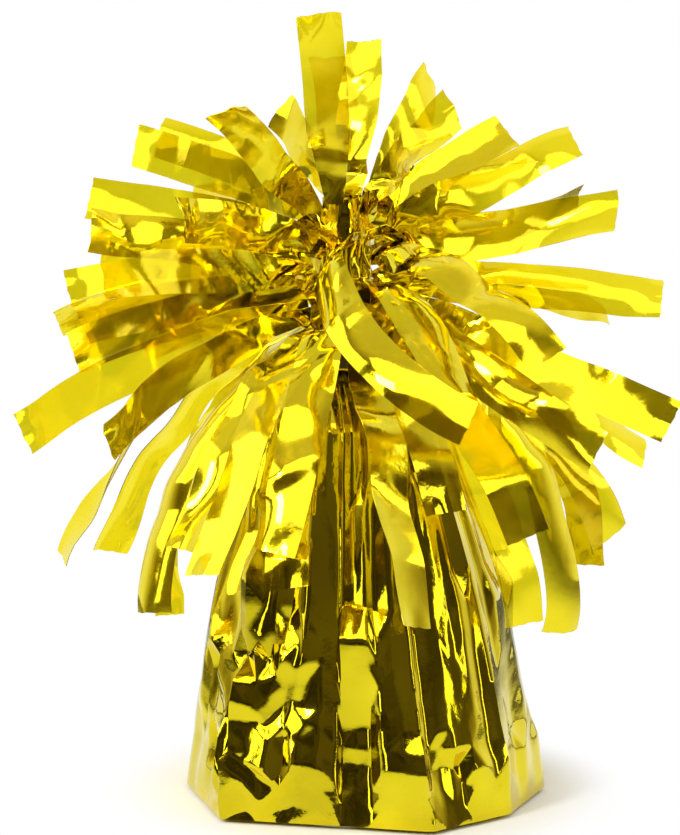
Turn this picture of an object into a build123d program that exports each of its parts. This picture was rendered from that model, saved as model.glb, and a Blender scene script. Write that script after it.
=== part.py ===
from build123d import *
import os
from math import cos, degrees, radians, sin

# Balloon weight: a filled plastic cone wrapped in metallised film. The film is drawn up
# and tied at a neck, and a burst of narrow film strips stands on the neck.
# Millimetres. The origin is the middle of the base on the table, +Z is up, -Y is the front.

# Film, one thickness for the wrap and the strips
FILM = 0.3

# Weighted cone inside the wrap
CUP_BASE_RADIUS = 27.6
CUP_TOP_RADIUS = 12.0
CUP_HEIGHT = 68.0
CUP_WALL = 1.2
CUP_TOP_ROUND = 1.0
DISC_THICKNESS = 1.5
FILL_CLEARANCE = 0.1

# Wrap: turn of each base corner in degrees, with how far it stands past the shortest reach
# that lets the widest side clear the cup. Above the base come an upright band, a cone up to
# the shoulder and the gathered neck, the last two off the middle of the base.
BASE_CORNERS = (
    (180, -0.7), (222, 1.3), (291, 0.2), (322, -0.6), (356, -0.2),
    (35, -0.4), (75, 0), (112, -0.6), (148, -0.2),
)
WRAP_CLEARANCE = 0.3
BAND_HEIGHT = 11.0
BAND_DRAW_IN = 1.0
SHOULDER_RISE = 2.7
SHOULDER_X = -1.5
SHOULDER_SLACK = 5.5
SHOULDER_PLEAT_DEPTH = 2.5
NECK_X = -3.8
NECK_RISE = 9.0
NECK_LENGTH = 5.0
NECK_RIDGE_RADIUS = 8.4
NECK_PLEAT_DEPTH = 1.4

# Tie round the neck, its two ends twisted apart at the back
TIE_WIDTH = 3.0
TIE_THICKNESS = 0.6
TIE_CLEARANCE = 0.15
TIE_TAIL_LENGTH = 5.0
TIE_TAIL_TURN = 90.0
TIE_TAIL_SPREAD = 24.0

# Core of the fringe: the roots of the strips, rolled and pressed together
CORE_CLEARANCE = 0.3
CORE_STEM_DEPTH = 9.0
CORE_FOOT_RADIUS = 7.5
CORE_TOP_RADIUS = 4.8
CORE_HEIGHT = 27.0
CORE_TOP_ROUND = 1.5

# Strips of the fringe
STRIP_LENGTH = 66.0
STRIP_WIDTH = 8.0
STRIP_ROOT_WIDTH = 3.2
STRIP_ROOT_TAPER = 14.0
STRIP_SEAT_GAP = 0.15
STRIP_ROOT_TUCK = 1.0

# Each strip is one arc from the core to its tip: how far up the core its root sits, in percent,
# turn of its chord round the neck, pitch of the chord above level, degrees it bends through,
# roll of its face about the chord, and how much of a whole strip stands free, in percent.
STRIPS = (
    # Top tuft
    (93, 250, 77, 12, 10, 53),
    (93, 72, 74, 15, 0, 45),
    (85, 40, 56, 30, 60, 45),
    (89, 320, 44, 15, 70, 42),
    (78, 222, 44, 25, 40, 48),
    (85, 140, 16, 25, 80, 65),
    (81, 95, 47, 20, 20, 57),
    (74, 14, 34, 30, 30, 47),
    (81, 160, 19, 20, 60, 58),
    # Upper right
    (70, 45, 15, 40, 5, 70),
    (74, 340, 25, 25, 110, 64),
    (63, 20, 10, 25, 120, 64),
    (59, 330, 12, 20, 100, 76),
    (44, 350, -3, 15, 80, 79),
    (59, 310, -15, 70, 30, 82),
    # Right, falling
    (30, 335, -19, 25, 70, 92),
    (22, 10, -30, 30, 60, 89),
    (30, 315, -22, 40, 60, 91),
    (19, 352, -44, 60, 30, 94),
    (7, 359, -60, 80, 20, 108),
    (7, 326, -58, 60, 20, 95),
    # Front
    (9, 323, -46, 60, 25, 76),
    (44, 296, -24, 60, 0, 64),
    (40, 293, -45, 60, 10, 81),
    (70, 294, -32, 120, 70, 95),
    (7, 284, -52, 55, 0, 93),
    (7, 256, -54, 60, 10, 80),
    (30, 253, -52, 60, -15, 82),
    # Upper left
    (67, 232, 11, 40, 80, 62),
    (67, 170, 9, 25, 80, 65),
    (56, 200, 9, 25, 90, 65),
    (44, 214, 4, 35, 80, 68),
    (48, 155, -8, 25, 70, 80),
    (41, 165, -11, 30, 60, 77),
    (33, 195, -6, 25, 70, 65),
    (30, 180, -14, 30, 60, 68),
    # Left, falling
    (22, 205, -19, 35, 70, 91),
    (19, 215, -24, 40, 70, 74),
    (15, 172, -46, 45, 0, 102),
    (7, 152, -47, 60, 20, 102),
    (7, 206, -58, 60, 20, 93),
    (7, 177, -65, 65, 15, 96),
    (11, 228, -50, 50, 0, 76),
    (15, 240, -47, 50, 0, 87),
    # Back
    (59, 122, 4, 30, 10, 76),
    (85, 120, 40, 20, 60, 41),
    (52, 65, 4, 30, 70, 79),
    (44, 105, -6, 40, 10, 85),
    (37, 35, -10, 40, 60, 85),
    (30, 130, -16, 40, 60, 88),
    (22, 80, -24, 50, 10, 91),
    (11, 35, -46, 80, 10, 120),
    (11, 110, -44, 60, 10, 89),
    (11, 80, -50, 60, 0, 86),
)

cup_foot = FILM
cup_top = cup_foot + CUP_HEIGHT
shoulder_height = cup_top + SHOULDER_RISE
neck_foot = shoulder_height + NECK_RISE
neck_top = neck_foot + NECK_LENGTH
tie_height = neck_foot + NECK_LENGTH / 2
fringe_foot = neck_top + CORE_CLEARANCE


def cup_radius(height):
    """Outer radius of the cup at a height above the table."""
    climbed = (height - cup_foot) / CUP_HEIGHT
    return CUP_BASE_RADIUS + (CUP_TOP_RADIUS - CUP_BASE_RADIUS) * climbed


def turned(points):
    """Solid of revolution about +Z through (radius, height) points."""
    outline = Polyline([(radius, 0, height) for radius, height in points], close=True)
    return revolve(make_face(outline), Axis.Z)


def top_rim(solid):
    """Highest round edge of a turned solid."""
    return solid.edges().filter_by(GeomType.CIRCLE).sort_by(Axis.Z)[-1]


def ballast_cup():
    """Moulded cone, open below, with one wall thickness all over."""
    inner_top = cup_top - CUP_WALL
    outer = turned([(0, cup_foot), (CUP_BASE_RADIUS, cup_foot), (CUP_TOP_RADIUS, cup_top), (0, cup_top)])
    outer = fillet(top_rim(outer), CUP_TOP_ROUND)
    hollow = turned([
        (0, cup_foot),
        (CUP_BASE_RADIUS - CUP_WALL, cup_foot),
        (cup_radius(inner_top) - CUP_WALL, inner_top),
        (0, inner_top),
    ])
    return outer - hollow


def base_disc():
    """Round closing disc, pressed into the mouth of the cup."""
    top = cup_foot + DISC_THICKNESS
    inset = CUP_WALL + FILL_CLEARANCE
    return turned([
        (0, cup_foot), (cup_radius(cup_foot) - inset, cup_foot), (cup_radius(top) - inset, top), (0, top),
    ])


def ballast_fill():
    """Cast filling, from the closing disc up to the top of the cup."""
    bottom = cup_foot + DISC_THICKNESS
    top = cup_top - CUP_WALL - FILL_CLEARANCE
    inset = CUP_WALL + FILL_CLEARANCE
    return turned([
        (0, bottom), (cup_radius(bottom) - inset, bottom), (cup_radius(top) - inset, top), (0, top),
    ])


def corner_reach():
    """Shortest reach of two corners whose side clears the cup, at the widest turn between corners."""
    turns = [turn for turn, _ in BASE_CORNERS]
    widest = max((after - turn) % 360 for turn, after in zip(turns, turns[1:] + turns[:1]))
    return (CUP_BASE_RADIUS + WRAP_CLEARANCE + FILM) / cos(radians(widest / 2))


def base_ring(height, draw_in):
    """Corners of the wrap near the base, each followed by the middle of the side after it."""
    corners = []
    for turn, extra in BASE_CORNERS:
        reach = corner_reach() + extra - draw_in
        corners.append(Vector(reach * cos(radians(turn)), reach * sin(radians(turn)), height))
    ring = []
    for corner, following in zip(corners, corners[1:] + corners[:1]):
        ring.extend([corner, (corner + following) * 0.5])
    return ring


def pleated_ring(height, middle_x, ridge_radius, pleat_depth):
    """Ridges and valleys of gathered film, as many as the base has corners and sides."""
    pleats = len(BASE_CORNERS)
    ring = []
    for step in range(2 * pleats):
        radius = ridge_radius - pleat_depth * (step % 2)
        turn = radians(BASE_CORNERS[0][0] + 180 * step / pleats)
        ring.append(Vector(middle_x + radius * cos(turn), radius * sin(turn), height))
    return ring


def foil_wrap():
    """Pleated film, closed under the base and open at the neck."""
    skins = []
    for inset in (0, FILM):
        shoulder_radius = CUP_TOP_RADIUS + SHOULDER_SLACK - inset
        neck_radius = NECK_RIDGE_RADIUS - inset
        rings = [
            base_ring(inset, inset),
            base_ring(BAND_HEIGHT, BAND_DRAW_IN + inset),
            pleated_ring(shoulder_height, SHOULDER_X, shoulder_radius, SHOULDER_PLEAT_DEPTH),
            pleated_ring(neck_foot, NECK_X, neck_radius, NECK_PLEAT_DEPTH),
            pleated_ring(neck_top, NECK_X, neck_radius, NECK_PLEAT_DEPTH),
        ]
        skins.append(loft([make_face(Polyline(ring, close=True)) for ring in rings], ruled=True))
    outer, inner = skins
    return outer - inner


def neck_tie():
    """Flat tie round the neck, with two short ends at the back."""
    inner = NECK_RIDGE_RADIUS + TIE_CLEARANCE
    outer = inner + TIE_THICKNESS
    low = tie_height - TIE_WIDTH / 2
    band = turned([(inner, low), (outer, low), (outer, low + TIE_WIDTH), (inner, low + TIE_WIDTH)])
    for spread in (-TIE_TAIL_SPREAD, TIE_TAIL_SPREAD):
        tail = Box(TIE_TAIL_LENGTH, TIE_THICKNESS, TIE_WIDTH, align=(Align.MIN, Align.CENTER, Align.CENTER))
        band += Pos(0, inner + TIE_THICKNESS / 2, tie_height) * Rot(0, 0, TIE_TAIL_TURN + spread) * tail
    return Pos(NECK_X, 0, 0) * band


def core_radius(rise):
    """Radius of the fringe core at a rise above its foot."""
    return CORE_FOOT_RADIUS + (CORE_TOP_RADIUS - CORE_FOOT_RADIUS) * rise / CORE_HEIGHT


def core_head(gap):
    """Head of the fringe core, with a gap added all round."""
    head_top = fringe_foot + CORE_HEIGHT
    head = turned([
        (0, fringe_foot - gap),
        (CORE_FOOT_RADIUS + gap, fringe_foot - gap),
        (CORE_TOP_RADIUS + gap, head_top + gap),
        (0, head_top + gap),
    ])
    head = fillet(top_rim(head), CORE_TOP_ROUND + gap)
    return Pos(NECK_X, 0, 0) * head


def fringe_core():
    """Rolled strip roots: a stem held in the neck and a tapering head above it."""
    stem_radius = NECK_RIDGE_RADIUS - NECK_PLEAT_DEPTH - FILM - CORE_CLEARANCE
    stem_middle = fringe_foot - CORE_STEM_DEPTH / 2
    stem = Pos(NECK_X, 0, stem_middle) * Cylinder(stem_radius, CORE_STEM_DEPTH)
    return core_head(0) + stem


def film_strip(climb, turn, pitch, bend, roll, share):
    """One strip, narrow at its root, curved along one arc."""
    rise = CORE_HEIGHT * climb / 100
    length = STRIP_LENGTH * share / 100 + STRIP_ROOT_TUCK
    arc_radius = degrees(length / bend)
    chord = 2 * arc_radius * sin(radians(bend / 2))
    centre = (chord / 2, -arc_radius * cos(radians(bend / 2)))
    start = 90 - bend / 2
    face_up = CenterArc(centre, arc_radius + FILM / 2, start, bend)
    face_down = CenterArc(centre, arc_radius - FILM / 2, start, bend)
    section = make_face([
        face_up, face_down, Line(face_up @ 0, face_down @ 0), Line(face_up @ 1, face_down @ 1),
    ])
    curved = extrude(Plane.XZ * section, STRIP_WIDTH / 2, both=True)
    root, full = STRIP_ROOT_WIDTH / 2, STRIP_WIDTH / 2
    plan = make_face(Polyline(
        (-FILM, -root), (0, -root), (STRIP_ROOT_TAPER, -full), (length, -full),
        (length, full), (STRIP_ROOT_TAPER, full), (0, root), (-FILM, root), close=True,
    ))
    strip = curved & extrude(plan, length, both=True)
    root_place = Pos(NECK_X, 0, fringe_foot + rise) * Rot(0, 0, turn)
    root_place *= Pos(core_radius(rise) - STRIP_ROOT_TUCK, 0, 0)
    placed = root_place * Rot(0, -pitch, 0) * Rot(roll, 0, 0) * strip
    return placed - core_head(STRIP_SEAT_GAP)


os.makedirs("parts", exist_ok=True)
export_step(ballast_cup(), "parts/ballast_cup.step")
export_step(ballast_fill(), "parts/ballast_fill.step")
export_step(base_disc(), "parts/base_disc.step")
export_step(foil_wrap(), "parts/foil_wrap.step")
export_step(neck_tie(), "parts/neck_tie.step")
export_step(fringe_core(), "parts/fringe_core.step")
for number, placing in enumerate(STRIPS, start=1):
    export_step(film_strip(*placing), f"parts/fringe_strip_{number:02d}.step")
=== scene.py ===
import math
import random

import bpy
import numpy as np
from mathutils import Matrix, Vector


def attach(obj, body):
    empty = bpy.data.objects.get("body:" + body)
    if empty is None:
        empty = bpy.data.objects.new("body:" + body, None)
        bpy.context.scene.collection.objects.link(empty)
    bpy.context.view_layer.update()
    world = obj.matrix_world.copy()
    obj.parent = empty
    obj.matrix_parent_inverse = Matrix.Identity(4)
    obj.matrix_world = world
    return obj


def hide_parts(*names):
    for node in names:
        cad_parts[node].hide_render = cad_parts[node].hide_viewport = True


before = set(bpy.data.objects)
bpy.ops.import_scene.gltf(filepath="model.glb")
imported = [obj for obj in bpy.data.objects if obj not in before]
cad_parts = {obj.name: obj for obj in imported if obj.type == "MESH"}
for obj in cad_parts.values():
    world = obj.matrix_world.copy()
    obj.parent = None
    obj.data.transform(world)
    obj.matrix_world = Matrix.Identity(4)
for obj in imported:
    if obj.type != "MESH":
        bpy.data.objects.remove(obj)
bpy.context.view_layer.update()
bpy.ops.object.select_all(action="DESELECT")

# Ballast cup: a cone moulded in natural polystyrene, open below, that gives the wrapped weight its
# shape. It stands on its rim inside the film, which hides it.

# Part of a noise pattern's range that is spread over a colour or a roughness
PATTERN_LOW, PATTERN_HIGH = 0.3, 0.7


def join(finish, value, entry):
    """Links a socket to a node's entry, or sets the entry to a plain value."""
    if isinstance(value, bpy.types.NodeSocket):
        finish.node_tree.links.new(value, entry)
    else:
        entry.default_value = value


def shader_entry(finish, name):
    """Entry of a finish's Principled shader."""
    return finish.node_tree.nodes["Principled BSDF"].inputs[name]


def new_finish(name, **sockets):
    """Material with one Principled shader whose named sockets are set."""
    finish = bpy.data.materials.new(name)
    finish.use_nodes = True
    for socket, value in sockets.items():
        join(finish, value, shader_entry(finish, socket.replace("_", " ")))
    return finish


def add_node(finish, kind, setting=None, **entries):
    """Shader node with one setting made, if it needs one, and its named entries joined."""
    node = finish.node_tree.nodes.new("ShaderNode" + kind)
    if setting:
        setattr(node, *setting)
    for name, value in entries.items():
        join(finish, value, node.inputs[name.replace("_", " ")])
    return node


def own_place(finish):
    """Places on the piece in its own coordinates, as a socket."""
    return add_node(finish, "TexCoord").outputs["Object"]


def noise(finish, scale, detail=3.0, stretch=(1, 1, 1)):
    """Noise pattern over the piece's own coordinates, as a socket from 0 to 1."""
    stretched = add_node(finish, "Mapping", Vector=own_place(finish), Scale=stretch)
    texture = add_node(
        finish, "TexNoise", Vector=stretched.outputs["Vector"], Scale=scale, Detail=detail)
    return texture.outputs["Fac"]


def spread(finish, value, start, end, low, high, curve="LINEAR"):
    """A value's range from start to end carried over to low to high, as a socket."""
    carried = add_node(
        finish, "MapRange", ("interpolation_type", curve),
        Value=value, From_Min=start, From_Max=end, To_Min=low, To_Max=high)
    return carried.outputs["Result"]


def tint(finish, pattern, dark, light):
    """Base colour between two colours by a pattern."""
    ramp = add_node(finish, "ValToRGB", Fac=pattern)
    first, last = ramp.color_ramp.elements
    first.position, first.color = PATTERN_LOW, (*dark, 1)
    last.position, last.color = PATTERN_HIGH, (*light, 1)
    join(finish, ramp.outputs["Color"], shader_entry(finish, "Base Color"))


def grain(finish, pattern, smooth, rough):
    """Roughness between two values by a pattern."""
    roughness = spread(finish, pattern, PATTERN_LOW, PATTERN_HIGH, smooth, rough)
    join(finish, roughness, shader_entry(finish, "Roughness"))


def relief(finish, pattern, depth):
    """Bump of a depth in metres by a pattern."""
    bump = add_node(finish, "Bump", Height=pattern, Strength=1.0, Distance=depth)
    join(finish, bump.outputs["Normal"], shader_entry(finish, "Normal"))


def dress(piece, finish):
    """Gives a piece its finish."""
    piece.data.materials.clear()
    piece.data.materials.append(finish)


cup_finish = new_finish("moulded_cup", IOR=1.55)
tint(cup_finish, noise(cup_finish, scale=90), dark=(0.78, 0.77, 0.73), light=(0.84, 0.83, 0.8))
grain(cup_finish, noise(cup_finish, scale=900), smooth=0.5, rough=0.62)
relief(cup_finish, noise(cup_finish, scale=2500), depth=0.00003)
dress(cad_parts["ballast_cup"], cup_finish)

# Ballast filling: cement and sand, cast into the cup to give the weight.
# It fills the cone up to its closed top and never shows once the cup is wrapped.
fill_finish = new_finish("cast_filling")
tint(fill_finish, noise(fill_finish, scale=700, detail=6),
     dark=(0.42, 0.4, 0.37), light=(0.64, 0.62, 0.58))
grain(fill_finish, noise(fill_finish, scale=400), smooth=0.85, rough=0.95)
relief(fill_finish, noise(fill_finish, scale=1500, detail=5), depth=0.0002)
dress(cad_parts["ballast_fill"], fill_finish)

# Closing disc: plain grey board, punched out and pressed into the mouth of the cup.
# It holds the filling in, and the film covers it from below.
FIBRE_STRETCH = (1, 0.25, 1)
disc_finish = new_finish("grey_board")
tint(disc_finish, noise(disc_finish, scale=1200, detail=6, stretch=FIBRE_STRETCH),
     dark=(0.55, 0.44, 0.31), light=(0.68, 0.56, 0.41))
grain(disc_finish, noise(disc_finish, scale=300), smooth=0.8, rough=0.92)
relief(disc_finish, noise(disc_finish, scale=2000, detail=4, stretch=FIBRE_STRETCH), depth=0.00006)
dress(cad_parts["base_disc"], disc_finish)

# Wrap: one sheet of metallised gold film, wound round the cup, folded flat under the base and
# gathered at the neck. It lies in stiff pleats with sharp folds, loose from the cup, with crumples
# low on the left.

# The film's lengths are in millimetres and its angles in degrees, with a turn of 270 to the front
MM_IN_METRE = 1000
WRAP_THICKNESS = 0.15 / MM_IN_METRE
# Corners of the base: turn and distance from the middle
BASE_CORNERS = (
    (180, 33.5), (222, 35.5), (291, 34.4), (322, 33.6), (356, 34.0),
    (35, 33.8), (75, 34.2), (112, 33.6), (148, 34.0),
)
# Edge of the base: height where the film turns in, and how far in it lies on the table
EDGE_LIFT, EDGE_TUCK = 0.75, 2.4
# Film under the base: how far out each row lies, as a share, and how far the middle row lifts
UNDER_REACH, UNDER_LIFT = (0.004, 0.6, 1.0), (0.05, 0.4)
# Band above the base: its height, and how far in its top stands
BAND_TOP, BAND_INSET = 11.0, 1.0
# Shoulder and neck: height, how far their middles lie to the left, and radius
SHOULDER_Z, SHOULDER_X, SHOULDER_R = 71.0, -1.5, 17.2
NECK_Z, NECK_TOP, NECK_X, NECK_R = 80.0, 85.0, -3.8, 8.3
# How far the left and right sides stand out half way up
BELLY = 1.9
# Folds: height over which one grows and one of the band dies out, share that is lost up to the
# shoulder and up to the neck, depth at the neck, and deepest and proudest of all
FOLD_RISE, LEAN_FADE, FOLD_LOSS, NECK_LOSS, NECK_FOLD = 8, 7, 0.2, 0.1, 0.8
FOLD_LIMITS = (-2.4, 2.6)
# Heights of the rows of corners that the folds run through
ROWS = (
    0.0, 0.0, 0.0, EDGE_LIFT, 4.0, 7.5, 11.0, 14.5, 18.0, 22.0, 26.0, 30.0, 34.5, 39.5, 45.0, 51.0,
    57.0, 62.5, 67.0, SHOULDER_Z, 75.5, NECK_Z, 82.5, NECK_TOP,
)
# Folds of the front half: turn of each fold line, how far it stands proud, height where it leaves
# the band, and how far the top of the band leans out there
FRONT_FOLDS = (
    (180, 0.2, 9, -0.6), (187, 0.8, 13, -1.2), (192, -0.8, 6, -0.4), (199, 0.9, 11, -0.9),
    (203, -0.7, 6, -1.8), (208, 0.8, 12, -0.9), (214, -0.4, 7, 0.5), (218, -1.1, 7, -1.6),
    (222, 1.2, 15, 0.9), (228, 0.4, 9, 0.8), (233, -0.3, 7, 1.0), (238, -0.9, 5, 0.7),
    (242, 0.4, 9, 0.9), (246, 1.3, 12, 1.0), (253, 0.5, 9, 0.8), (259, -0.4, 6, -0.4),
    (261, -1.0, 4, -1.9), (267, -0.7, 7, -2.0), (272, -1.3, 4, -1.2), (276, 1.2, 12, 0.9),
    (283, 1.1, 9, 1.1), (289, 0.9, 7, 0.9), (291.5, -1.6, 4, -0.7), (296, -0.6, 5, -2.2),
    (301, 0.4, 6, -1.9), (305, -1.4, 4, -1.0), (308, 0.7, 8, 0.5), (312, 0.9, 10, 0.7),
    (317, -1.0, 6, 0.4), (322, 0.9, 11, 0.7), (329, 0.2, 9, -0.5), (334, 1.0, 6, -1.4),
    (340, 0.3, 8, 0.2), (349, 0.1, 10, -0.6),
)
# Folds of the back half: how many, first turn and step, and the ranges of their other measures
BACK_FOLDS, BACK_START, BACK_STEP = 21, 356, 8.76
BACK_PROUD, BACK_BAND, BACK_LEAN = (0.5, 1.4), (5, 13), (-2.0, 1.2)
# Fold on a corner of the base that has no fold line this near to it
CORNER_NEAR, CORNER_FOLD = 0.6, (0.8, 12, 0.4)
# Flat facets turned out of the cone: first and last turn, lowest and highest edge, lean per mm of
# height, lean per degree of turn. Their middles stand proud by one measure.
FACETS = (
    (215, 225, 27, 46, 0.3, 0.0), (234, 247, 20.5, 31, 0.3, 0.04), (260, 275, 17, 35, 0.28, -0.03),
    (197, 209, 29, 56, -0.19, -0.16), (226, 234, 33, 50, 0.02, 0.16),
    (282, 290, 16, 50, 0.0, -0.118), (300, 309, 14, 60, 0.0, 0.05), (270, 277, 38, 60, 0.05, -0.14),
    (311, 318, 14, 40, 0.05, -0.16), (330, 345, 14, 44, 0.1, -0.05),
    (247, 256, 40, 58, 0.02, -0.14), (2, 14, 18, 40, 0.22, 0.06), (28, 40, 34, 56, 0.02, 0.16),
    (52, 66, 14, 30, 0.26, -0.04), (78, 88, 26, 52, 0.04, -0.16), (100, 114, 15, 36, 0.2, 0.08),
    (126, 136, 36, 60, 0.0, 0.18), (150, 164, 16, 34, 0.24, -0.06),
)
FACET_PROUD = 0.3
# Crumples: the patch's first and last turn and top, how far the corners are shaken in it and
# elsewhere, the height where that starts, and how much more they slide sideways and up or down
CRUMPLE_FIRST, CRUMPLE_LAST, CRUMPLE_TOP = 200, 250, 36
CRUMPLED, SMOOTHED, SHAKEN_FROM = 0.85, 0.09, 3
SLIDE_SIDE, SLIDE_UP = 1.1, 2.0
FOLD_SEED = 7
# Corners nearer to each other than this, in metres, are welded, under the middle of the base
WELD_WITHIN = 0.02 / MM_IN_METRE
# Folds sharper than this stay sharp edges
SHARP_FOLD = math.radians(45)


def gold_film(name, deep, pale, metal, clear, crinkle, gloss=(0.04, 0.1)):
    """Metallised gold polyester film: mirror bright, clear faced and more or less see-through."""
    film = new_finish(
        name, Metallic=metal, Transmission_Weight=clear, IOR=1.06,
        Coat_Weight=0.25, Coat_Roughness=0.04, Coat_IOR=1.5)
    tint(film, noise(film, scale=60, detail=2), deep, pale)
    grain(film, noise(film, scale=160), *gloss)
    relief(film, noise(film, scale=420, detail=4), crinkle)
    return film


def base_reach(turn):
    """Distance from the middle to the side of the base, straight between its corners."""
    ordered = sorted(BASE_CORNERS)
    for (first, near), (last, far) in zip(ordered, ordered[1:] + ordered[:1]):
        wide = (last - first) % 360
        gone = (turn - first) % 360
        if gone <= wide:
            return near * far * math.sin(math.radians(wide)) / (
                near * math.sin(math.radians(gone)) + far * math.sin(math.radians(wide - gone)))


def flat_film(name, columns, rows):
    """Flat film, with how far along and across it each vertex lies, from 0 to 1."""
    bpy.ops.mesh.primitive_grid_add(x_subdivisions=columns, y_subdivisions=rows, size=1)
    film = bpy.context.active_object
    film.name = name
    film.data.name = name
    corners = np.empty(len(film.data.vertices) * 3)
    film.data.vertices.foreach_get("co", corners)
    corners = corners.reshape(-1, 3)
    return film, corners[:, 0] + 0.5, corners[:, 1] + 0.5


def lay_film(film, places):
    """Moves the film's vertices to places in millimetres."""
    film.data.vertices.foreach_set("co", (places / MM_IN_METRE).ravel())


def finish_film(film, thickness, material, soften=0):
    """Rounds the folds a little, gives the film its thickness and its finish."""
    bpy.context.view_layer.objects.active = film
    if soften:
        smooth = film.modifiers.new("soften", "SMOOTH")
        smooth.factor = 0.5
        smooth.iterations = soften
        bpy.ops.object.modifier_apply(modifier="soften")
    wall = film.modifiers.new("wall", "SOLIDIFY")
    wall.thickness = thickness
    wall.offset = -1
    bpy.ops.object.modifier_apply(modifier="wall")
    bpy.ops.object.shade_smooth_by_angle(angle=SHARP_FOLD)
    dress(film, material)


folds = random.Random(FOLD_SEED)
fold_lines = list(FRONT_FOLDS)
for step in range(BACK_FOLDS):
    outward = 1 if step % 2 else -1
    fold_lines.append((
        (BACK_START + step * BACK_STEP) % 360, folds.uniform(*BACK_PROUD) * outward,
        folds.uniform(*BACK_BAND), folds.uniform(*BACK_LEAN)))
for corner_turn, _ in BASE_CORNERS:
    nearest = min(abs((corner_turn - line[0] + 180) % 360 - 180) for line in fold_lines)
    if nearest > CORNER_NEAR:
        fold_lines.append((corner_turn, *CORNER_FOLD))
fold_lines.sort()

corner_places = np.zeros((len(ROWS), len(fold_lines), 3))
for column, (turn, proud, band, lean) in enumerate(fold_lines):
    out = np.array([math.cos(math.radians(turn)), math.sin(math.radians(turn))])
    sideways = np.array([-out[1], out[0]])
    foot = base_reach(turn) * out
    shoulder = np.array([SHOULDER_X, 0]) + SHOULDER_R * out
    neck = np.array([NECK_X, 0]) + (NECK_R - NECK_FOLD) * out
    for row, height in enumerate(ROWS):
        if row < len(UNDER_REACH):
            lift = folds.uniform(*UNDER_LIFT) * (row == 1)
            corner_places[row, column] = (*(foot - EDGE_TUCK * out) * UNDER_REACH[row], lift)
            continue
        if height <= SHOULDER_Z:
            upright = min(height, BAND_TOP) / BAND_TOP
            gathered = np.clip((height - BAND_TOP) / (SHOULDER_Z - BAND_TOP), 0, 1)
            spot = foot * (1 - gathered) + shoulder * gathered - BAND_INSET * out * upright
            spot = spot + BELLY * (math.sin(math.pi * gathered) * out[0]) ** 2 * out
            fold = proud * np.clip((height - band) / FOLD_RISE, 0, 1) * (1 - FOLD_LOSS * gathered)
            fold += lean * upright * np.clip(1 - (height - BAND_TOP) / LEAN_FADE, 0, 1)
            for first, last, lowest, highest, rise_lean, side_lean in FACETS:
                if first <= turn <= last and lowest <= height <= highest:
                    fold = rise_lean * (height - (lowest + highest) / 2)
                    fold = fold + side_lean * (turn - (first + last) / 2) + FACET_PROUD
        else:
            drawn = min((height - SHOULDER_Z) / (NECK_Z - SHOULDER_Z), 1)
            spot = shoulder * (1 - drawn) + neck * drawn
            fold = np.clip(proud, -NECK_FOLD, NECK_FOLD) * (1 - NECK_LOSS * drawn)
        slid, lifted = 0.0, 0.0
        if SHAKEN_FROM < height < SHOULDER_Z:
            crumpled = CRUMPLE_FIRST < turn < CRUMPLE_LAST and height < CRUMPLE_TOP
            shaken = CRUMPLED if crumpled else SMOOTHED
            fold += folds.uniform(-shaken, shaken)
            slid = folds.uniform(-SLIDE_SIDE, SLIDE_SIDE) * shaken
            lifted = folds.uniform(-SLIDE_UP, SLIDE_UP) * shaken
        spot = spot + out * np.clip(fold, *FOLD_LIMITS) + slid * sideways
        corner_places[row, column] = (*spot, height + lifted)

wrap, around, upward = flat_film("film_wrap", len(fold_lines), len(ROWS) - 1)
column_of = np.rint(around * len(fold_lines)).astype(int) % len(fold_lines)
row_of = np.rint(upward * (len(ROWS) - 1)).astype(int)
lay_film(wrap, corner_places[row_of, column_of])
bpy.ops.object.mode_set(mode="EDIT")
bpy.ops.mesh.select_all(action="SELECT")
bpy.ops.mesh.remove_doubles(threshold=WELD_WITHIN)
bpy.ops.mesh.quads_convert_to_tris(quad_method="SHORTEST_DIAGONAL")
bpy.ops.mesh.normals_make_consistent(inside=False)
bpy.ops.mesh.subdivide(number_cuts=3)
bpy.ops.object.mode_set(mode="OBJECT")
wrap_film = gold_film(
    "wrap_film", deep=(0.6, 0.48, 0.002), pale=(0.84, 0.7, 0.006),
    metal=1.0, clear=0.0, crinkle=0.00006)
finish_film(wrap, WRAP_THICKNESS, wrap_film, soften=1)
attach(wrap, "root")
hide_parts("foil_wrap")

# Neck tie: a flat plastic-coated wire tie, passed round the neck and twisted off behind.
# It holds the gathered film and the roots of the strips together. Its near-black colour is painted
# shade for the dark gap at the neck between the strips.
painted_shade_tie_finish = new_finish("coated_tie_painted_shade", Coat_Weight=0.2)
# Near-black tint: painted shade for the dark, shaded gap at the neck, not the tie's own colour.
tint(painted_shade_tie_finish, noise(painted_shade_tie_finish, scale=500), dark=(0.03, 0.02, 0.006), light=(0.06, 0.04, 0.01))
grain(painted_shade_tie_finish, noise(painted_shade_tie_finish, scale=800), smooth=0.25, rough=0.4)
relief(painted_shade_tie_finish, noise(painted_shade_tie_finish, scale=1800, detail=2, stretch=(0.2, 0.2, 1)), depth=0.00005)
dress(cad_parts["neck_tie"], painted_shade_tie_finish)

# Fringe core: the roots of all the strips, rolled up and pressed together above the tie.
# It is the same film, crushed into small facets, with loops of it squeezed out between the strips.
# Its darker gold is painted shade.
CORE_X, CORE_Z = -3.8, 85.3
CORE_HEIGHT, CORE_FOOT, CORE_TOP = 27.0, 7.5, 4.8
ROOT_THICKNESS = 0.1 / MM_IN_METRE
# Roll: rounds, columns and rows of facets, share of the core's radius where it starts and how much
# that grows, gap below it, how much shorter it is, and how far it is crushed in or out and slips
ROLL_ROUNDS, ROLL_COLUMNS, ROLL_ROWS = 3.2, 45, 7
ROLL_START, ROLL_GROWTH, ROLL_GAP, ROLL_SHORT = 0.3, 0.62, 0.4, 1.2
ROLL_CRUSH, ROLL_SLIP = (-0.7, 0.5), 0.3
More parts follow.
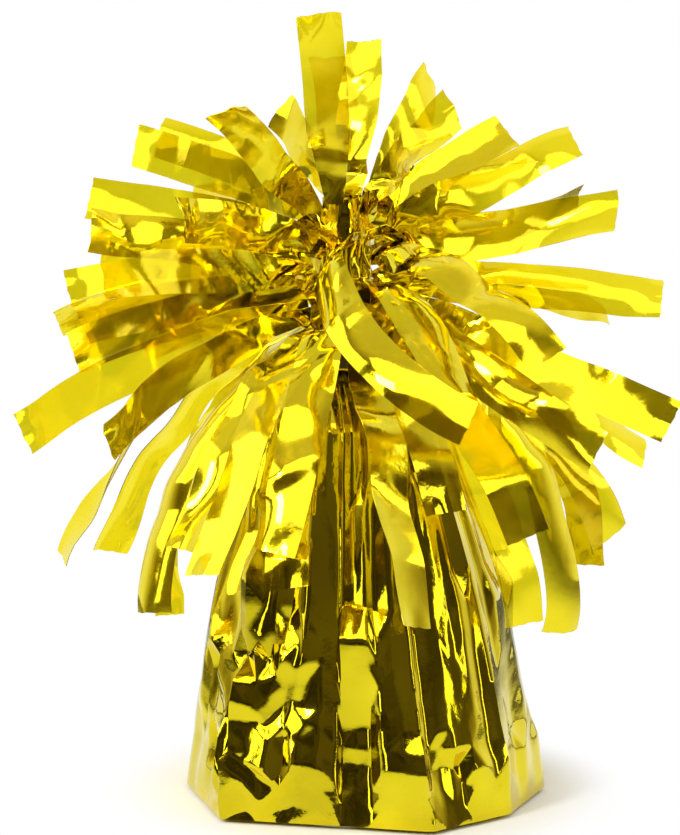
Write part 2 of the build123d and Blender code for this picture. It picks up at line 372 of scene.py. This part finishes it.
# Loops: place of the middle, turn and tilt of the opening, radius, width of the film and share of a
# full round
LOOPS = (
    ((4.0, -9.5, 100.5), 285, 25, 5.2, 7.5, 0.95), ((-9.5, -8.0, 104.0), 235, 35, 3.6, 6.5, 0.8),
    ((1.5, -8.5, 108.5), 275, 50, 3.8, 6.0, 0.7), ((-11.0, -8.5, 93.5), 225, -5, 4.2, 6.5, 0.75),
    ((5.5, -8.0, 91.5), 305, -20, 3.8, 6.5, 0.8), ((-2.5, -11.0, 95.0), 262, -35, 3.4, 6.0, 0.7),
    ((3.0, 9.0, 102.0), 75, 30, 4.6, 7.0, 0.9), ((-11.0, 8.0, 97.0), 130, 10, 4.2, 6.5, 0.8),
    ((-4.0, 10.0, 91.0), 95, -15, 4.0, 6.5, 0.75), ((3.2, 4.5, 98.5), 60, 10, 4.0, 7.5, 0.95),
)
# Every loop: columns and rows of facets, how far it is oval, its mean width as a share of the
# film's, and how far it is crushed in or out and slips
LOOP_COLUMNS, LOOP_ROWS, LOOP_OVAL, LOOP_MEAN = 9, 2, 0.2, 0.75
LOOP_CRUSH, LOOP_SLIP = 0.55, 0.4
ANY_ANGLE, CRUSH_SEED = (0, 6.28), 23
# Gold darker than the wrap's and the strips': painted shade for the deep, crowded core. The
# mottling between its two golds is random tone.
root_film_painted_shade = gold_film(
    "root_film_painted_shade", deep=(0.62, 0.46, 0.002), pale=(0.76, 0.6, 0.006),
    metal=1.0, clear=0.0, crinkle=0.00006)
crush = random.Random(CRUSH_SEED)


def rolled_film(name, columns, rows, place):
    """Crushed film: a coarse sheet laid out by place(along, rise) and split into facets."""
    roll, along, rise = flat_film(name, columns, rows)
    lay_film(roll, np.array([place(*spot) for spot in zip(along, rise)]))
    bpy.ops.object.mode_set(mode="EDIT")
    bpy.ops.mesh.select_all(action="SELECT")
    bpy.ops.mesh.quads_convert_to_tris(quad_method="SHORTEST_DIAGONAL")
    bpy.ops.mesh.subdivide(number_cuts=2)
    bpy.ops.object.mode_set(mode="OBJECT")
    finish_film(roll, ROOT_THICKNESS, root_film_painted_shade, soften=1)
    return roll


def core_roll(along, rise):
    """Spiral of the pressed roots."""
    turn = along * ROLL_ROUNDS * 2 * math.pi
    radius = (CORE_FOOT + (CORE_TOP - CORE_FOOT) * rise) * (ROLL_START + ROLL_GROWTH * along)
    radius += crush.uniform(*ROLL_CRUSH)
    height = CORE_Z + ROLL_GAP + rise * (CORE_HEIGHT - ROLL_SHORT)
    height += crush.uniform(-ROLL_SLIP, ROLL_SLIP)
    return CORE_X + radius * math.cos(turn), radius * math.sin(turn), height


def loose_loop(number, middle, turn, tilt, radius, width, share):
    """One loop of film that is squeezed out of the roots."""
    turn, tilt = math.radians(turn), math.radians(tilt)
    axis = np.array([
        math.cos(turn) * math.cos(tilt), math.sin(turn) * math.cos(tilt), math.sin(tilt)])
    level = np.array([-math.sin(turn), math.cos(turn), 0])
    upright = np.cross(axis, level)
    start = crush.uniform(*ANY_ANGLE)

    def loop_place(along, rise):
        angle = start + along * share * 2 * math.pi
        reach = radius * (1 + LOOP_OVAL * math.sin(2 * angle + start))
        reach += crush.uniform(-LOOP_CRUSH, LOOP_CRUSH)
        shift = (rise - 0.5) * width * (LOOP_MEAN + (1 - LOOP_MEAN) * math.sin(angle))
        shift += crush.uniform(-LOOP_SLIP, LOOP_SLIP)
        round_about = level * math.cos(angle) + upright * math.sin(angle)
        return np.array(middle) + axis * shift + round_about * reach

    return rolled_film(f"loose_loop_{number}", LOOP_COLUMNS, LOOP_ROWS, loop_place)


core = rolled_film("rolled_roots", ROLL_COLUMNS, ROLL_ROWS, core_roll)
loose_loops = [loose_loop(number, *placing) for number, placing in enumerate(LOOPS, start=1)]
bpy.ops.object.select_all(action="DESELECT")
for loop in loose_loops:
    loop.select_set(True)
core.select_set(True)
bpy.context.view_layer.objects.active = core
bpy.ops.object.join()
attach(core, "root")
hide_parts("fringe_core")

# Fringe strips: film slit into strips about 8 mm wide, held by their roots in the tie and sprung
# out in a burst. Each bends under its own weight, with a twist, small creases and a crumpled end
# where it was cut.
STRIP_LENGTH, STRIP_WIDTH, ROOT_WIDTH, ROOT_TAPER = 66.0, 8.0, 3.2, 14.0
STRIP_THICKNESS, ROOT_CLEAR = 0.12 / MM_IN_METRE, 0.1
# Faces along and across each strip
ALONG, ACROSS = 56, 8
STRIP_SEED = 100
# Share of metal in one film, in two, and in the many layers that lie together near the core
ONE_METAL, TWO_METAL, LAYERED_METAL = 0.21, 0.66, 0.96
# Those layers: height of their middle as a share of the core's, and the distances in metres between
# which they come apart
LAYERS_RISE, LAYERS_FROM, LAYERS_TO = 0.4, 0.014, 0.034
# Strips: height of the root as a percentage of the core's, turn, pitch, bend and roll, length as a
# percentage of the full one, and twist
STRIPS = (
    # Top tuft
    (93, 250, 77, 12, 10, 55, 8), (93, 72, 74, 15, 0, 45, -12), (85, 40, 56, 30, 60, 45, 40),
    (89, 320, 44, 15, 70, 42, 10), (78, 222, 44, 25, 40, 48, -14), (85, 140, 16, 25, 80, 65, 30),
    (81, 95, 47, 20, 20, 57, -20), (74, 14, 34, 30, 30, 47, 25), (81, 160, 19, 20, 60, 58, 45),
    # Upper right
    (70, 45, 15, 40, 5, 70, 0), (74, 340, 25, 25, 110, 64, -66), (63, 20, 10, 25, 120, 64, 12),
    (59, 330, 12, 20, 100, 76, -35), (44, 350, -3, 15, 80, 79, -22),
    (59, 310, -15, 70, 30, 82, -10),
    # Right, falling
    (30, 335, -19, 25, 70, 92, -10), (22, 10, -30, 30, 60, 89, -18), (30, 315, -22, 40, 60, 91, 14),
    (19, 352, -44, 60, 30, 94, 22), (7, 359, -60, 80, 20, 108, 40), (7, 326, -58, 60, 20, 95, 15),
    # Front
    (9, 323, -46, 60, 25, 76, 25), (44, 296, -24, 60, 0, 64, 10), (40, 293, -45, 60, 10, 81, -20),
    (70, 294, -32, 120, 70, 95, -44), (7, 284, -52, 55, 0, 93, -40), (7, 256, -54, 60, 10, 80, 4),
    (30, 253, -52, 60, -15, 82, 12),
    # Upper left
    (67, 232, 11, 40, 80, 62, 22), (67, 170, 9, 25, 80, 65, 34), (56, 200, 9, 25, 90, 65, 24),
    (44, 214, 4, 35, 80, 68, 30), (48, 155, -8, 25, 70, 80, 30), (41, 165, -11, 30, 60, 77, -25),
    (33, 195, -6, 25, 70, 65, 40), (30, 180, -14, 30, 60, 68, 48),
    # Left, falling
    (22, 205, -19, 35, 70, 91, 28), (19, 215, -24, 40, 70, 74, 12), (15, 172, -46, 45, 0, 102, -22),
    (7, 152, -47, 60, 20, 102, 0), (7, 206, -58, 60, 20, 93, -45), (7, 177, -65, 65, 15, 96, 20),
    (11, 228, -50, 50, 0, 76, -8), (15, 240, -47, 50, 0, 87, 14),
    # Back
    (59, 122, 4, 30, 10, 76, 80), (85, 120, 40, 20, 60, 41, 55), (52, 65, 4, 30, 70, 79, 20),
    (44, 105, -6, 40, 10, 85, 30), (37, 35, -10, 40, 60, 85, -15), (30, 130, -16, 40, 60, 88, 10),
    (22, 80, -24, 50, 10, 91, -25), (11, 35, -46, 80, 10, 120, -45), (11, 110, -44, 60, 10, 89, 15),
    (11, 80, -50, 60, 0, 86, 20),
)
# Strips that lie double, one film on the other, and so let less light through
DOUBLED = {5, 8, 12, 15, 16, 18, 20, *range(22, 30), 31, 34, 36, 38, 41, *range(43, 55)}
# Strips whose ends lean out of their bend, and how far, over this share of their length
KICKS = {1: -2.4, 16: 3.2, 22: 2.8, 24: 2.8, 25: 5.0, 26: 2.8, 27: 2.8, 28: 2.8, 43: 2.8, 44: 2.8}
KICK_SHARE = 0.4
# Wobble of the twist in degrees, and its half waves along the strip
WOBBLE, WOBBLE_WAVES = 9, 2.6
# Curl across the width: its size, the share of it that stays level, and where it is full
CURL, CURL_LEVEL, CURL_FULL = 1.3, 0.3, 12
# Waves: range of their length and their height, then their slant, range of strength and where full
WAVES = (((18, 32), 0.75), ((10, 16), 0.12))
WAVE_SLANT, WAVE_STRENGTH, WAVE_FULL = 0.6, (0.5, 1), 15
# Creases: how many, range of their place along the strip, slant, and ranges of width and height
END_CREASES = (2, (0.3, 1.05), 0.9, (3, 8), (0.2, 0.6))
ROOT_CREASES = (3, (0.02, 0.35), 1.5, (2, 5), (0.3, 0.8))
# The long strip that bends over the front has no creases at its root
SMOOTH_ROOTED = {25}
# Cut end: its length, the height and range of waves of its ripple, the slant of the cut, the depth
# and waves of its nicks, and how close to the end these stay
CUT_END, RIPPLE, RIPPLE_WAVES = 4, 0.22, (3, 6)
CUT_SLANT, NICKS, NICK_WAVES, CUT_CLOSE = 0.6, 0.1, 9, 4


def distance_from(finish, middle):
    """Distance of places on the piece from a point, as a socket."""
    away = add_node(finish, "VectorMath", ("operation", "DISTANCE"))
    join(finish, own_place(finish), away.inputs[0])
    join(finish, middle, away.inputs[1])
    return away.outputs["Value"]


def strip_finish(name, metal):
    """Film of the strips, which lets less light through near the core, where many layers lie."""
    film = gold_film(
        name, deep=(0.92, 0.78, 0.006), pale=(0.98, 0.85, 0.014),
        metal=metal, clear=1.0, crinkle=0.00003, gloss=(0.05, 0.14))
    layers_middle = (CORE_X / MM_IN_METRE, 0, (CORE_Z + LAYERS_RISE * CORE_HEIGHT) / MM_IN_METRE)
    away = distance_from(film, layers_middle)
    layers = spread(film, away, LAYERS_FROM, LAYERS_TO, LAYERED_METAL, metal)
    join(film, layers, shader_entry(film, "Metallic"))
    return film


def turned_about(vectors, axes, angles):
    """Each vector turned about its own unit axis."""
    cosine, sine = np.cos(angles)[:, None], np.sin(angles)[:, None]
    along_axis = np.sum(vectors * axes, axis=1)[:, None]
    return vectors * cosine + np.cross(axes, vectors) * sine + axes * along_axis * (1 - cosine)


def film_lift(number, chance, length, station, beside, reach, across):
    """How far each place on a strip lies off its plain bend, and how near to the cut end it is."""
    curl = chance.uniform(-CURL, CURL) * (beside ** 2 - CURL_LEVEL)
    lift = curl * np.clip(reach / CURL_FULL, 0, 1)
    wavelengths = [chance.uniform(*lengths) for lengths, _ in WAVES]
    for wavelength, (_, height) in zip(wavelengths, WAVES):
        slant = chance.uniform(-WAVE_SLANT, WAVE_SLANT)
        strength = height * chance.uniform(*WAVE_STRENGTH)
        phase = 2 * math.pi * (reach + slant * across) / wavelength + chance.uniform(*ANY_ANGLE)
        lift += strength * np.sin(phase) * np.clip(reach / WAVE_FULL, 0, 1)
    creases = (END_CREASES,) if number in SMOOTH_ROOTED else (END_CREASES, ROOT_CREASES)
    for count, places, most_slant, widths, heights in creases:
        for _ in range(count):
            where = chance.uniform(*places) * length
            slant = chance.uniform(-most_slant, most_slant)
            off = np.abs(reach + slant * across - where)
            ridge = np.clip(1 - off / chance.uniform(*widths), 0, 1)
            lift += chance.choice((-1, 1)) * chance.uniform(*heights) * ridge
    kick = np.clip(station / KICK_SHARE - (1 / KICK_SHARE - 1), 0, 1) ** 2
    lift += KICKS.get(number, 0) * kick
    near_end = np.clip((reach - length + CUT_END) / CUT_END, 0, 1)
    waves = chance.uniform(*RIPPLE_WAVES)
    lift += near_end * RIPPLE * np.sin(beside * waves + chance.uniform(*ANY_ANGLE))
    return lift, near_end


def spring_strip(number, climb, turn, pitch, bend, roll, share, twist):
    """One strip from the core to its tip."""
    chance = random.Random(STRIP_SEED + number)
    length = STRIP_LENGTH * share / 100
    turn, pitch, bend, roll, twist = (
        math.radians(angle) for angle in (turn, pitch, bend, roll, twist))
    out, up = np.array([math.cos(turn), math.sin(turn), 0]), np.array([0, 0, 1])
    chord = math.cos(pitch) * out + math.sin(pitch) * up
    level_crown = math.cos(pitch) * up - math.sin(pitch) * out
    level_side = np.cross(chord, level_crown)
    crown = math.cos(roll) * level_crown + math.sin(roll) * level_side
    side = math.cos(roll) * level_side - math.sin(roll) * level_crown
    core_radius = CORE_FOOT + (CORE_TOP - CORE_FOOT) * climb / 100
    root = np.array([CORE_X, 0, CORE_Z + CORE_HEIGHT * climb / 100])
    root = root + (core_radius + ROOT_CLEAR) * out

    strip, station, crossed = flat_film(f"strip_{number:02d}", ALONG, ACROSS)
    beside = 2 * crossed - 1
    angle = bend * (0.5 - station)
    radius = length / bend
    forward = radius * (math.sin(bend / 2) - np.sin(angle))
    above = radius * (np.cos(angle) - math.cos(bend / 2))
    middle = root + forward[:, None] * chord + above[:, None] * crown
    tangent = np.cos(angle)[:, None] * chord + np.sin(angle)[:, None] * crown
    normal = np.cos(angle)[:, None] * crown - np.sin(angle)[:, None] * chord
    sideways = np.repeat(side[None], len(station), axis=0)

    wobble = math.radians(chance.uniform(-WOBBLE, WOBBLE))
    turning = twist * station + wobble * np.sin(WOBBLE_WAVES * math.pi * station)
    normal = turned_about(normal, tangent, turning)
    sideways = turned_about(sideways, tangent, turning)
    reach = station * length
    widening = (STRIP_WIDTH - ROOT_WIDTH) * reach / ROOT_TAPER
    across = beside * (np.clip(ROOT_WIDTH + widening, 0, STRIP_WIDTH) / 2)
    lift, near_end = film_lift(number, chance, length, station, beside, reach, across)
    nicks = NICKS * np.sin(beside * NICK_WAVES + number)
    trim = near_end ** CUT_CLOSE * (chance.uniform(-CUT_SLANT, CUT_SLANT) * beside + nicks)
    places = middle + across[:, None] * sideways + lift[:, None] * normal + trim[:, None] * tangent
    lay_film(strip, places)
    finish_film(strip, STRIP_THICKNESS, double_film if number in DOUBLED else strip_film)
    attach(strip, "root")
    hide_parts(f"fringe_strip_{number:02d}")


strip_film = strip_finish("strip_film", ONE_METAL)
double_film = strip_finish("double_film", TWO_METAL)
for strip_number, strip_placing in enumerate(STRIPS, start=1):
    spring_strip(strip_number, *strip_placing)

# Table: a round white top that takes the contact shadow of the base. Further out it is plain white
# to the camera and through clear film, and in the mirror of the film it dims towards its rim.
TABLE_RADIUS, TABLE_WHITE = 0.32, (0.86, 0.86, 0.86, 1)
# Distances in metres between which the shadow gives way to white, and the mirrored table dims
SHADOW_FROM, SHADOW_TO = 0.034, 0.05
DIM_FROM, DIM_TO, DIM_LEVEL = 0.07, 0.26, 0.15


def reckon(finish, operation, first, second):
    """Result of one operation on two sockets or numbers, as a socket."""
    result = add_node(finish, "Math", ("operation", operation))
    join(finish, first, result.inputs[0])
    join(finish, second, result.inputs[1])
    return result.outputs["Value"]


def seen_plain(finish):
    """1 to the camera and through clear film, and 0 in a mirror, as a socket."""
    path = add_node(finish, "LightPath")
    seen = reckon(
        finish, "MAXIMUM", path.outputs["Is Camera Ray"], path.outputs["Is Transmission Ray"])
    unmirrored = reckon(finish, "LESS_THAN", path.outputs["Glossy Depth"], 0.5)
    return reckon(finish, "MULTIPLY", seen, unmirrored)


bpy.ops.mesh.primitive_circle_add(vertices=96, radius=TABLE_RADIUS, fill_type="NGON")
table = bpy.context.active_object
table.name = "table"
table_finish = new_finish("white_table", Roughness=0.8, Base_Color=TABLE_WHITE)
table_nodes = table_finish.node_tree.nodes
from_middle = distance_from(table_finish, (0, 0, 0))
mirrored = spread(table_finish, from_middle, DIM_FROM, DIM_TO, 1.0, DIM_LEVEL, "SMOOTHSTEP")
shine = reckon(table_finish, "MAXIMUM", seen_plain(table_finish), mirrored)
glow = add_node(table_finish, "Emission", Strength=shine)
lit = spread(table_finish, from_middle, SHADOW_FROM, SHADOW_TO, 0.0, 1.0, "SMOOTHSTEP")
table_top = add_node(table_finish, "MixShader", Fac=lit)
join(table_finish, table_nodes["Principled BSDF"].outputs["BSDF"], table_top.inputs[1])
join(table_finish, glow.outputs["Emission"], table_top.inputs[2])
join(table_finish, table_top.outputs["Shader"], table_nodes["Material Output"].inputs["Surface"])
dress(table, table_finish)

# Room: white behind the object, pale above, and dim and warm on the camera's side, so that the film
# has dark and bright to mirror. To the camera and through clear film it is plain white.

# Ways in the room between which its front turns to its back, and its walls to its ceiling
FRONT_FROM, BACK_FROM, CEILING_FROM, CEILING_TO = -0.3, 0.5, 0.6, 0.9
BACK_LEVEL, CEILING_LEVEL = 1.0, 0.7
# Uneven dim side: scale of its pattern, the part of it that is spread, and its darkest and palest
DRIFT_SCALE, DRIFT_LOW, DRIFT_HIGH, DIMMEST, PALEST = 3.0, 0.4, 0.65, 0.03, 0.12
ROOM_WARM, ROOM_WHITE = (1.0, 0.78, 0.55, 1), (1, 1, 1, 1)

room = bpy.data.worlds.new("studio")
room.use_nodes = True
bpy.context.scene.world = room
room_way = add_node(room, "TexCoord").outputs["Generated"]
room_axes = add_node(room, "SeparateXYZ", Vector=room_way)
drift = add_node(room, "TexNoise", Vector=room_way, Scale=DRIFT_SCALE, Detail=1.0)
dim = spread(room, drift.outputs["Fac"], DRIFT_LOW, DRIFT_HIGH, DIMMEST, PALEST)
walls = spread(room, room_axes.outputs["Y"], FRONT_FROM, BACK_FROM, dim, BACK_LEVEL, "SMOOTHSTEP")
ceiling = spread(
    room, room_axes.outputs["Z"], CEILING_FROM, CEILING_TO, 0.0, CEILING_LEVEL, "SMOOTHSTEP")
brighter = reckon(room, "MAXIMUM", walls, ceiling)
room_level = reckon(room, "MAXIMUM", seen_plain(room), brighter)
room_hue = add_node(
    room, "Mix", ("data_type", "RGBA"), Factor=room_level, A=ROOM_WARM, B=ROOM_WHITE)
surround = room.node_tree.nodes["Background"]
join(room, room_level, surround.inputs["Strength"])
join(room, room_hue.outputs["Result"], surround.inputs["Color"])

# Lamps: a large soft box above the front, one to each side, two upright strip boxes, and a small
# bright key lamp at the front left. All face the middle of the object.
LAMP_AIM = (0, 0, 0.08)


def softbox(name, place, wide, tall, level):
    """Soft lamp that faces the object, as bright as its level says."""
    bpy.ops.object.light_add(type="AREA", location=place)
    lamp = bpy.context.active_object
    lamp.name = name
    lamp.data.shape = "RECTANGLE"
    lamp.data.size = wide
    lamp.data.size_y = tall
    lamp.data.energy = level * math.pi * wide * tall
    away = lamp.location - Vector(LAMP_AIM)
    lamp.rotation_euler = away.to_track_quat("Z", "Y").to_euler()


softbox("front_lamp", place=(-0.06, -0.52, 0.6), wide=0.9, tall=0.5, level=1.8)
softbox("left_lamp", place=(-0.7, -0.1, 0.47), wide=0.55, tall=0.5, level=2.0)
softbox("right_lamp", place=(0.7, -0.05, 0.5), wide=0.42, tall=0.42, level=2.0)
softbox("left_strip_lamp", place=(-0.6, -0.5, 0.24), wide=0.16, tall=0.5, level=2.2)
softbox("right_strip_lamp", place=(0.62, -0.42, 0.24), wide=0.12, tall=0.5, level=2.0)
softbox("key_lamp", place=(-0.5, -0.55, 0.5), wide=0.16, tall=0.16, level=40)

# Camera: stands in front, 62 cm from the object, and looks a little down on it, as the photograph
# does. Its lens takes in the photograph's frame, and colours come out as they are written.
CAMERA_AIM, CAMERA_DISTANCE, CAMERA_ELEVATION = (-0.0045, 0.0, 0.0705), 0.62, math.radians(9.5)
bpy.ops.object.camera_add()
camera = bpy.context.active_object
camera.name = "camera"
camera.location = (
    CAMERA_AIM[0],
    CAMERA_AIM[1] - CAMERA_DISTANCE * math.cos(CAMERA_ELEVATION),
    CAMERA_AIM[2] + CAMERA_DISTANCE * math.sin(CAMERA_ELEVATION),
)
camera.rotation_euler = (math.pi / 2 - CAMERA_ELEVATION, 0, 0)
camera.data.sensor_width = 36
camera.data.lens = 144.84
camera.data.clip_start = 0.01
bpy.context.scene.camera = camera
bpy.context.scene.view_settings.view_transform = "Standard"
